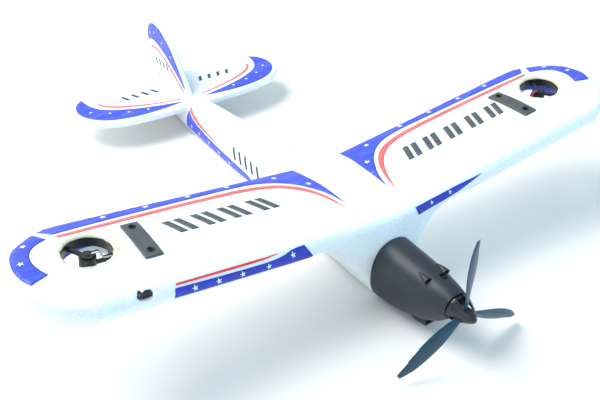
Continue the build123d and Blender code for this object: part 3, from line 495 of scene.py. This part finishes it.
def fill(outline, step):
    """A triangulated patch: dense boundary plus a grid of inner points."""
    edge = dense(outline, step)
    lo, hi = edge.min(0), edge.max(0)
    gx = np.arange(lo[0], hi[0] + step, step)
    gy = np.arange(lo[1], hi[1] + step * 0.866, step * 0.866)
    g = np.array([(x + (0.5 * step if j % 2 else 0.0), y) for j, y in enumerate(gy) for x in gx])
    g = g[inside(edge, g)]
    if len(g):
        d = np.sqrt(((g[:, None, :] - edge[None, :, :]) ** 2).sum(2)).min(1)
        g = g[d > 0.55 * step]
    pts = [Vector(p) for p in edge] + [Vector(p) for p in g]
    n = len(edge)
    v, e, f, _, _, _ = delaunay_2d_cdt(pts, [], [list(range(n))], 1, 1e-5)
    return [(p.x, p.y) for p in v], [list(t) for t in f]


def film(name, outlines, place, key, lift=0.16, step=2.0, thick=0.10, out=None, body_name="airframe"):
    """Film patches laid on a surface. place(u, v) gives (point, outward normal) in the row frame."""
    verts, faces, norms = [], [], []
    for o in outlines:
        vs, fs = fill(o, step)
        base = len(verts)
        ok = True
        for (u, v) in vs:
            hit = place(u, v)
            if hit is None:
                ok = False
                hit = (None, None)
            verts.append(hit[0])
            norms.append(hit[1])
        good = [all(verts[base + i] is not None for i in f) for f in fs]
        faces += [[base + i for i in f] for f, g in zip(fs, good) if g]
    used = sorted({i for f in faces for i in f})
    back = {i: k for k, i in enumerate(used)}
    v0 = [verts[i] + norms[i] * (lift * 0.001) for i in used]
    v1 = [verts[i] + norms[i] * ((lift + thick) * 0.001) for i in used]
    n = len(used)
    f0 = [[back[i] for i in f] for f in faces]
    if not f0:
        print("film with no faces:", name)
        return None
    a, b, c = (v1[k] for k in f0[0])
    # orient all triangles along the outward normal
    tri = []
    for f in f0:
        a, b, c = (v1[k] for k in f)
        nn = (b - a).cross(c - a)
        tri.append(f if nn.dot(norms[used[f[0]]]) > 0 else f[::-1])
    count = {}
    for f in tri:
        for i in range(3):
            e = (f[i], f[(i + 1) % 3])
            count[e] = count.get(e, 0) + 1
    rim = [e for e in count if (e[1], e[0]) not in count]
    out_f = [[k + n for k in f] for f in tri] + [f[::-1] for f in tri] + [[e[0], e[1], e[1] + n, e[0] + n] for e in rim]
    ob = mesh_object(name, v0 + v1, out_f, MAT[key])
    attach(ob, body_name)
    return ob


def ray_place(bvh, origin, direction):
    """Lay (u, v) on a surface by a ray; origin(u, v) is in the datum frame, direction too."""
    d = D(*direction).normalized()

    def place(u, v):
        hit = bvh.ray_cast(P(*origin(u, v)), d, 0.5)
        if hit[0] is None:
            return None
        nn = hit[1]
        if nn.dot(d) > 0:
            nn = -nn
        return hit[0], nn
    return place


def star(cx, cy, r, turn=0.0, squash_v=1.0, inner=0.42):
    return [(cx + (r if k % 2 == 0 else r * inner) * math.sin(turn + math.pi * k / 5),
             cy + squash_v * (r if k % 2 == 0 else r * inner) * math.cos(turn + math.pi * k / 5)) for k in range(10)]


for sx, side in ((-1, "left"), (1, "right")):
    top = ray_place(BVH["wing"], lambda u, v, sx=sx: (sx * u, v, 60.0), (0, 0, -1))
    # swoosh and band along the trailing edge
    upper = spline([(21.9, -0.3), (21.2, -17.0), (19.6, -36.0), (19.0, -52.0), (18.7, -64.2)], 6)
    lower = spline([(18.7, -64.2), (22.2, -50.5), (27.5, -39.5), (34.5, -28.6), (44.5, -18.9), (55.5, -12.9),
                    (68.0, -9.9), (84.0, -9.1), (108.0, -9.6), (140.0, -10.3), (178.0, -11.6), (205.8, -13.4)], 6)
    band = upper[:-1] + lower[:-1] + [(205.8, -13.4), (213.4, -4.4)] + [(211.0, -1.6), (180.0, -0.8), (120.0, -0.5),
                                                                       (60.0, -0.3)]
    film("wing_band_blue_" + side, [band], top, "blue")
    red_o = spline([(21.9, -69.4), (24.4, -56.0), (29.8, -41.4), (37.6, -29.9), (48.0, -21.6), (61.0, -16.7),
                    (78.0, -14.1), (105.0, -13.6), (136.0, -13.9), (176.0, -14.9), (205.0, -16.4)], 6)
    red_i = spline([(203.4, -19.6), (172.0, -18.9), (136.0, -18.2), (104.0, -18.2), (81.0, -18.9), (64.0, -20.9),
                    (51.0, -25.4), (40.6, -33.4), (32.4, -44.0), (26.4, -56.8), (22.3, -69.2)], 6)
    film("wing_stripe_red_" + side, [red_o + red_i], top, "red", step=1.6)
    stars = [(26.6, -30.6), (42.7, -9.0), (79.6, -4.6), (110.1, -4.7), (141.1, -5.0), (170.6, -5.4)]
    film("wing_band_stars_" + side, [star(x, y, 2.75, 0.1) for x, y in stars], top, "star", lift=0.34, step=0.8,
         thick=0.06)
    # separate piece round the tip
    rim = spline([(217.1, -5.8), (223.5, -10.6), (229.8, -17.6), (234.0, -26.0), (236.2, -36.0), (236.6, -46.0),
                  (235.0, -54.6), (231.7, -61.6)], 6)
    inn = spline([(220.6, -56.2), (223.4, -50.0), (225.2, -42.0), (224.6, -33.0), (221.0, -25.6), (216.0, -21.0),
                  (210.6, -18.0)], 6)
    film("wing_tip_blue_" + side, [rim + inn], top, "blue")
    film("wing_tip_stars_" + side, [star(224.8, -20.4, 2.5, 0.6), star(231.2, -39.5, 2.5, 0.2)], top, "star", lift=0.34,
         step=0.8, thick=0.06)
    # generic slanted bars where the printed marks sit
    marks = [71.9, 93.4, 112.8, 132.6] if sx < 0 else [60.1, 79.4, 100.6, 122.3, 143.1]
    ym = -41.2 if sx < 0 else -42.6
    bars = []
    for xm in marks:
        for k in (-1, 1):
            cx = xm + k * 3.9
            bars.append([(cx - 2.5 + 3.2, ym + 8.2), (cx + 2.5 + 3.2, ym + 8.2), (cx + 2.5 - 3.2, ym - 8.2),
                         (cx - 2.5 - 3.2, ym - 8.2)])
    film("wing_marks_" + side, bars, top, "mark", step=1.8)

    # strip on the leading edge face
    face = ray_place(BVH["wing"], lambda u, v, sx=sx: (sx * u, -150.0, v + 0.1223 * abs(u)), (0, 1, 0))
    if sx < 0:
        lead = ([(65.0, -4.0), (162.5, -2.2)] + [(161.0, 3.3)]
                + spline([(160.0, 3.4), (130.0, 2.7), (112.0, 2.4), (98.0, 2.4), (88.0, 3.2), (82.0, 4.5),
                          (77.0, 5.1), (70.5, 5.25)], 6))
        red = [(160.0, 4.5), (130.0, 4.15), (112.0, 4.0), (101.0, 4.1), (94.0, 4.6), (89.0, 5.1), (100.0, 5.0),
               (120.0, 5.1), (159.5, 5.3)]
        film("lead_stripe_red_left", [red], face, "red_deep", step=1.2)
        spots = ((149.0, 0.6), (133.5, 0.3), (117.4, 0.0), (98.8, -0.3), (80.5, 2.1))
    else:
        lead = [(24.0, -1.6), (60.0, 0.4), (84.0, 3.6), (60.0, 4.3), (22.0, 4.4)]
        spots = ((36.0, 2.4), (53.0, 2.7))
    film("lead_band_blue_" + side, [lead], face, "blue_deep", step=1.6)
    film("lead_stars_" + side, [star(x, y, 2.1 if sx < 0 else 1.5, 0.15, 1.0) for x, y in spots], face, "star",
         lift=0.34, step=0.7, thick=0.06)

    # tailplane
    st = ray_place(BVH["stab"], lambda u, v, sx=sx: (sx * u, v, 0.0), (0, 0, -1))
    s_out = spline([(12.9, 212.2), (32.0, 209.6), (55.0, 209.0), (74.0, 211.8), (88.0, 217.0), (98.0, 225.0),
                    (104.8, 235.0), (107.2, 246.0), (105.6, 257.0), (101.0, 265.4), (95.1, 270.6)], 6)
    s_in = spline([(95.1, 270.6), (94.6, 262.0), (92.0, 252.0), (86.0, 241.6), (74.0, 232.6), (58.0, 225.0),
                   (38.0, 218.4), (12.9, 212.6)], 6)
    film("stab_band_blue_" + side, [s_out + s_in[1:-1]], st, "blue")
    s_ro = spline([(85.0, 253.6), (82.4, 246.6), (76.0, 239.6), (64.0, 232.6), (48.0, 226.2), (30.0, 221.0),
                   (10.9, 217.4)], 6)
    s_ri = spline([(11.0, 218.6), (30.0, 222.9), (47.0, 228.3), (62.0, 234.8), (73.6, 241.4), (80.0, 247.6),
                   (83.0, 254.2)], 6)
    film("stab_stripe_red_" + side, [s_ro + s_ri], st, "red", step=1.4)
    film("stab_stars_" + side, [star(x, y, 2.0, 0.3) for x, y in
                                ((96.6, 240.6), (81.6, 229.0), (65.2, 221.6), (47.2, 216.6))], st, "star", lift=0.34,
         step=0.7, thick=0.06)
    bars = []
    for k in range(4):
        cx, cy = 26.0 + 10.4 * k, 250.0
        bars.append([(cx - 1.6 + 1.9, cy + 4.6), (cx + 1.6 + 1.9, cy + 4.6), (cx + 1.6 - 1.9, cy - 4.6),
                     (cx - 1.6 - 1.9, cy - 4.6)])
    film("stab_marks_" + side, bars, st, "mark_teal", step=1.5)

    # fin
    fp = ray_place(BVH["fin"], lambda u, v, sx=sx: (sx * 40.0, u, v), (-sx, 0, 0))
    f_out = spline([(226.0, -34.0), (233.0, -25.2), (243.6, -13.0), (255.0, -1.8), (266.0, 5.2), (277.5, 10.0),
                    (288.6, 11.6), (298.0, 9.6), (304.6, 4.6), (308.2, -3.6)], 6)
    f_in = spline([(308.4, -11.6), (302.0, -8.4), (293.0, -7.6), (283.0, -9.0), (272.0, -12.6), (258.0, -18.6),
                   (242.0, -27.0), (227.6, -35.2)], 6)
    film("fin_band_blue_" + side, [f_out + f_in], fp, "blue", step=1.6)
    r_o = spline([(303.4, -17.6), (296.0, -14.6), (284.0, -14.8), (270.0, -18.6), (254.0, -25.6), (238.0, -33.6),
                  (228.6, -38.0)], 6)
    r_i = spline([(230.0, -39.4), (240.0, -35.8), (254.6, -28.4), (270.2, -21.0), (284.0, -16.8), (295.6, -16.2),
                  (303.2, -18.4)], 6)
    film("fin_stripe_red_" + side, [r_o + r_i], fp, "red", step=1.3)
    film("fin_stars_" + side, [star(x, y, 1.7, 0.2) for x, y in
                               ((301.6, -1.6), (291.0, 1.6), (274.0, -3.4), (255.6, -11.6))], fp, "star", lift=0.34,
         step=0.6, thick=0.06)
    bars = []
    for k in range(4):
        cx, cy = 266.0 + 8.6 * k, -27.0 - 0.6 * k
        bars.append([(cx - 1.1 + 1.2, cy + 3.2), (cx + 1.1 + 1.2, cy + 3.2), (cx + 1.1 - 1.2, cy - 3.2),
                     (cx - 1.1 - 1.2, cy - 3.2)])
    film("fin_marks_" + side, bars, fp, "mark_teal", step=1.2)

    # tail boom side
    bp = ray_place(BVH["body"], lambda u, v, sx=sx: (sx * 60.0, u, v), (-sx, 0, 0))
    b_band = (spline([(197.0, -41.0), (180.0, -45.6), (158.0, -48.4), (134.0, -49.0), (108.0, -48.2), (74.0, -46.6)], 5)
              + spline([(64.0, -50.0), (90.0, -54.6), (118.0, -57.2), (146.0, -58.2), (172.0, -58.4), (197.5, -57.6)], 5))
    film("boom_band_blue_" + side, [b_band], bp, "blue")
    film("boom_stripe_red_" + side, [spline([(198.0, -39.0), (184.0, -40.4), (160.0, -43.4), (131.0, -46.4)], 5)
                                     + spline([(131.0, -46.9), (158.0, -46.3), (180.0, -44.2), (196.5, -40.6)], 5)],
         bp, "red", step=1.4)
    film("boom_stars_" + side, [star(x, -53.3, 2.2, 0.2) for x in (186.0, 170.0, 150.0, 130.0, 110.0)], bp, "star",
         lift=0.34, step=0.7, thick=0.06)
    bars = []
    for k in range(5):
        cx, cy = 58.0 + 10.6 * k, -35.0 - 0.9 * k
        bars.append([(cx - 1.6 + 2.2, cy + 5.2), (cx + 1.6 + 2.2, cy + 5.2), (cx + 1.6 - 2.2, cy - 5.2),
                     (cx - 1.6 - 2.2, cy - 5.2)])
    film("boom_marks_" + side, bars, bp, "mark_teal", step=1.5)


# ---------------------------------------------------------------- adhesive
def glue_ring(side, s):
    """Irregular bead of hot-melt adhesive round the duct, thicker on the inboard side."""
    a = math.radians(-6.97 * s)
    ca, sa = math.cos(a), math.sin(a)

    def place(x, y, z):
        X = x * ca + z * sa + s * 194.6
        Z = -x * sa + z * ca + 0.1223 * 194.6
        return P(X, y - 43.1, Z)
    n, prof = 180, 14
    ph = rng.uniform(0, 6.28, 8)
    verts = []
    for i in range(n):
        t = 2 * math.pi * i / n
        wob = (0.34 * math.sin(3 * t + ph[0]) + 0.26 * math.sin(7 * t + ph[1]) + 0.18 * math.sin(13 * t + ph[2])
               + 0.12 * math.sin(23 * t + ph[3]))
        inboard = max(0.0, -s * math.cos(t))
        rear = max(0.0, math.sin(t))
        r_out = 17.5 + 0.45 * wob + 1.9 * inboard ** 3 + 0.7 * rear
        z_top = 8.0 + 0.28 * wob
        r_in = 15.3 + 0.18 * math.sin(9 * t + ph[4]) + 0.12 * math.sin(17 * t + ph[5])
        ring = [(16.02, 5.6), (r_in - 0.25, 6.26), (r_in - 0.1, 6.9), (r_in + 0.45, 7.5), (r_in + 1.3, z_top + 0.02),
                (0.5 * (r_in + 1.6 + r_out), z_top + 0.15), (r_out - 0.35, z_top - 0.12), (r_out, z_top - 0.55),
                (r_out - 0.2, z_top - 1.1), (16.9, 6.2), (16.95, 3.0), (16.95, 0.0), (16.02, -0.2), (16.02, 2.6)]
        for r, z in ring:
            verts.append(place(r * math.cos(t), r * math.sin(t), z))
    faces = []
    for i in range(n):
        for k in range(prof):
            i2, k2 = (i + 1) % n, (k + 1) % prof
            faces.append([i * prof + k, i2 * prof + k, i2 * prof + k2, i * prof + k2])
    ob = mesh_object("duct_adhesive_" + side, verts, faces, MAT["glue"])
    bm = bmesh.new()
    bm.from_mesh(ob.data)
    bmesh.ops.recalc_face_normals(bm, faces=bm.faces)
    bm.to_mesh(ob.data)
    bm.free()
    sub = ob.modifiers.new("sub", "SUBSURF")
    sub.levels = sub.render_levels = 1
    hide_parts("duct_glue_bead_" + side)
    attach(ob, "airframe")


glue_ring("left", -1)
glue_ring("right", 1)


def blob(name, centre, size, seed, mat, body_name="airframe"):
    """A small smear of dried adhesive."""
    bm = bmesh.new()
    bmesh.ops.create_icosphere(bm, subdivisions=4, radius=1.0)
    r = np.random.default_rng(seed)
    ph = r.uniform(0, 6.28, 6)
    for v in bm.verts:
        c = v.co.copy()
        k = 1.0 + 0.16 * math.sin(3.1 * c.x + ph[0]) * math.cos(2.7 * c.y + ph[1]) + 0.09 * math.sin(
            6.3 * c.y + ph[2] + 2.1 * c.z) + 0.06 * math.sin(9.0 * c.x + 5.0 * c.z + ph[3])
        q = c * k
        v.co = P(centre[0] + q.x * size[0], centre[1] + q.y * size[1], centre[2] + q.z * size[2])
    me = bpy.data.meshes.new(name)
    bm.to_mesh(me)
    bm.free()
    me.polygons.foreach_set("use_smooth", [True] * len(me.polygons))
    me.materials.append(mat)
    o = link(bpy.data.objects.new(name, me))
    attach(o, body_name)
    return o


def painted_duct_reflection(side, s):
    """Blue sheet on the foam wall of the duct, below the plastic rim, on the outer rear side: a painted reflection of
    blue light inside the duct.
    """
    a = math.radians(-6.97 * s)
    ca, sa = math.cos(a), math.sin(a)

    def place(x, y, z):
        X = x * ca + z * sa + s * 194.6
        Z = -x * sa + z * ca + 0.1223 * 194.6
        return P(X, y - 43.1, Z)
    n, m = 60, 6
    verts = []
    for i in range(n + 1):
        k = i / n
        t = math.radians(62.0 + 140.0 * k) if s < 0 else math.radians(118.0 - 140.0 * k)
        depth = -1.2 - 5.4 * math.sin(0.5 * math.pi * k) ** 0.8
        for j in range(m + 1):
            z = 0.05 + (depth - 0.05) * j / m
            verts.append(place(16.78 * math.cos(t), 16.78 * math.sin(t), z))
    c = len(verts)
    for i in range(n + 1):
        k = i / n
        t = math.radians(62.0 + 140.0 * k) if s < 0 else math.radians(118.0 - 140.0 * k)
        depth = -1.2 - 5.4 * math.sin(0.5 * math.pi * k) ** 0.8
        for j in range(m + 1):
            z = 0.05 + (depth - 0.05) * j / m
            verts.append(place(16.9 * math.cos(t), 16.9 * math.sin(t), z))
    f = []
    w = m + 1
    for i in range(n):
        for j in range(m):
            q = i * w + j
            f.append([q, q + 1, q + w + 1, q + w])
            f.append([c + q, c + q + w, c + q + w + 1, c + q + 1])
        f.append([i * w, (i + 1) * w, c + (i + 1) * w, c + i * w])
        f.append([i * w + m, c + i * w + m, c + (i + 1) * w + m, (i + 1) * w + m])
    for j in range(m):
        f.append([j, c + j, c + j + 1, j + 1])
        q = n * w + j
        f.append([q, q + 1, c + q + 1, c + q])
    ob = mesh_object("duct_painted_reflection_" + side, verts, f, MAT["blue"])
    bm = bmesh.new()
    bm.from_mesh(ob.data)
    bmesh.ops.recalc_face_normals(bm, faces=bm.faces)
    bm.to_mesh(ob.data)
    bm.free()
    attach(ob, "airframe")


# blue painted reflection inside each duct
painted_duct_reflection("left", -1)
painted_duct_reflection("right", 1)
blob("tail_adhesive_rear", (-3.6, 291.0, -42.6), (1.5, 3.6, 1.1), 3, MAT["glue"])
blob("tail_adhesive_front", (6.5, 203.6, -39.4), (3.2, 1.8, 1.0), 5, MAT["glue"])


def sight_fitting():
    """Dark moulded fitting seen in the leading-edge hole: a rounded slot shape with a raised lip, set 1 mm inside."""
    n = 48
    cx, cz = -178.5, 0.1223 * 178.5 + 3.4
    rows = [(-90.6, 0.30), (-91.2, 0.62), (-91.9, 0.80), (-91.9, 0.94), (-91.2, 1.0), (-89.0, 1.0), (-86.0, 1.0), (-86.0, 0.4)]
    verts, faces = [], []
    for y, k in rows:
        for i in range(n):
            t = 2 * math.pi * i / n
            u = 4.4 * k * math.copysign(abs(math.cos(t)) ** 0.75, math.cos(t))
            v = 1.6 * k * math.copysign(abs(math.sin(t)) ** 0.8, math.sin(t)) * (1.0 + 0.12 * math.cos(t))
            verts.append(P(cx + u, y, cz + v + 0.1223 * -u))
    for r in range(len(rows) - 1):
        for i in range(n):
            j = (i + 1) % n
            faces.append([r * n + i, r * n + j, (r + 1) * n + j, (r + 1) * n + i])
    faces.append(list(range(n))[::-1])
    faces.append([(len(rows) - 1) * n + i for i in range(n)])
    ob = mesh_object("sight_hole_fitting", verts, faces, MAT["ring"])
    bm = bmesh.new()
    bm.from_mesh(ob.data)
    bmesh.ops.recalc_face_normals(bm, faces=bm.faces)
    bm.to_mesh(ob.data)
    bm.free()
    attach(ob, "airframe")


sight_fitting()

for sx, side in ((-1, "left"), (1, "right")):
    # dark dished seats round the screws
    lo_s, hi_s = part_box("clip_screws_" + side)
    plate_lo, plate_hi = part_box("clip_plate_" + side)
    PL = BVHTree.FromPolygons([v.co.copy() for v in NODES["clip_plate_" + side].data.vertices],
                              [tuple(p.vertices) for p in NODES["clip_plate_" + side].data.polygons])
    verts, faces = [], []
    n = 40
    for yc in (-31.0, -59.6):
        base_i = len(verts)
        hit = None
        for dx in (2.9, -2.9):
            h = PL.ray_cast(P(sx * 160.6 + dx, yc, 60.0), D(0, 0, -1), 0.2)
            if h[0] is not None:
                hit = h if hit is None or h[0].z > hit[0].z else hit
        nrm = D(-sx * 0.1214, 0.0, 0.9926)
        c = P(sx * 160.6, yc, wing_top(160.6, yc) + 1.3)
        t1 = nrm.cross(D(0, 1, 0)).normalized()
        t2 = nrm.cross(t1).normalized()
        prof = [(1.55, 0.02), (1.75, 0.30), (2.25, 0.42), (2.55, 0.30), (2.65, 0.02), (2.3, -0.25), (1.6, -0.25)]
        for i in range(n):
            a = 2 * math.pi * i / n
            d = t1 * math.cos(a) + t2 * math.sin(a)
            for r, z in prof:
                verts.append(c + d * (r * 0.001) + nrm * (z * 0.001))
        m = len(prof)
        for i in range(n):
            for k in range(m):
                i2, k2 = (i + 1) % n, (k + 1) % m
                faces.append([base_i + i * m + k, base_i + i2 * m + k, base_i + i2 * m + k2, base_i + i * m + k2])
    ob = mesh_object("clip_screw_seats_" + side, verts, faces, MAT["screw"])
    bm = bmesh.new()
    bm.from_mesh(ob.data)
    bmesh.ops.recalc_face_normals(bm, faces=bm.faces)
    bm.to_mesh(ob.data)
    bm.free()
    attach(ob, "airframe")


# ---------------------------------------------------------------- propeller, smoothed from the CAD shape
def smooth_copy(name, node, voxel, steps, mat, body_name, factor=0.5):
    o = remeshed(name, node, voxel, mat)
    relax(o.data, np.full(len(o.data.vertices), factor), steps)
    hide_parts(node)
    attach(o, body_name)
    return o


smooth_copy("propeller_moulding", "propeller", 0.00032, 3, MAT["propeller"],
            "propeller_unit")

# ---------------------------------------------------------------- floor and light
fl = bpy.data.meshes.new("floor")
fl.from_pydata([(-4, -4, -0.0004), (4, -4, -0.0004), (4, 4, -0.0004), (-4, 4, -0.0004)], [], [[0, 1, 2, 3]])
floor = link(bpy.data.objects.new("floor", fl))
fm, fnt, fb, fvec = new_material("floor_pale")
fn = noise(fnt, fvec, 3.0, 2.0)
fnt.links.new(ramp(fnt, fn, [(0.3, (0.95, 0.905, 0.875)), (0.7, (0.97, 0.925, 0.895))]), fb.inputs["Base Color"])
fb.inputs["Roughness"].default_value = 0.9
fl.materials.append(fm)

world = bpy.data.worlds.new("studio")
bpy.context.scene.world = world
world.use_nodes = True
wn = world.node_tree
bg = wn.nodes.get("Background") or wn.nodes.new("ShaderNodeBackground")
bg.inputs["Color"].default_value = (0.74, 0.91, 1.0, 1.0)
bg.inputs["Strength"].default_value = 0.68
bpy.context.scene.view_settings.view_transform = "Standard"


def area(name, loc, target, size, power, color):
    d = bpy.data.lights.new(name, "AREA")
    d.shape = "RECTANGLE"
    d.size, d.size_y = size
    d.energy = power
    d.color = color
    o = link(bpy.data.objects.new(name, d))
    o.location = loc
    o.rotation_euler = (Vector(target) - Vector(loc)).to_track_quat("-Z", "Y").to_euler()
    return o


area("key", (-0.9, 0.9, 1.9), (0, 0, 0), (1.5, 1.5), 54.0, (1.0, 0.985, 0.965))
area("fill", (1.3, -1.3, 0.50), (0, 0, 0.04), (1.4, 0.8), 10.0, (0.22, 0.66, 1.0))
area("front", (-1.3, -1.1, 0.8), (0, 0, 0.04), (1.0, 0.8), 2.5, (0.75, 0.93, 1.0))
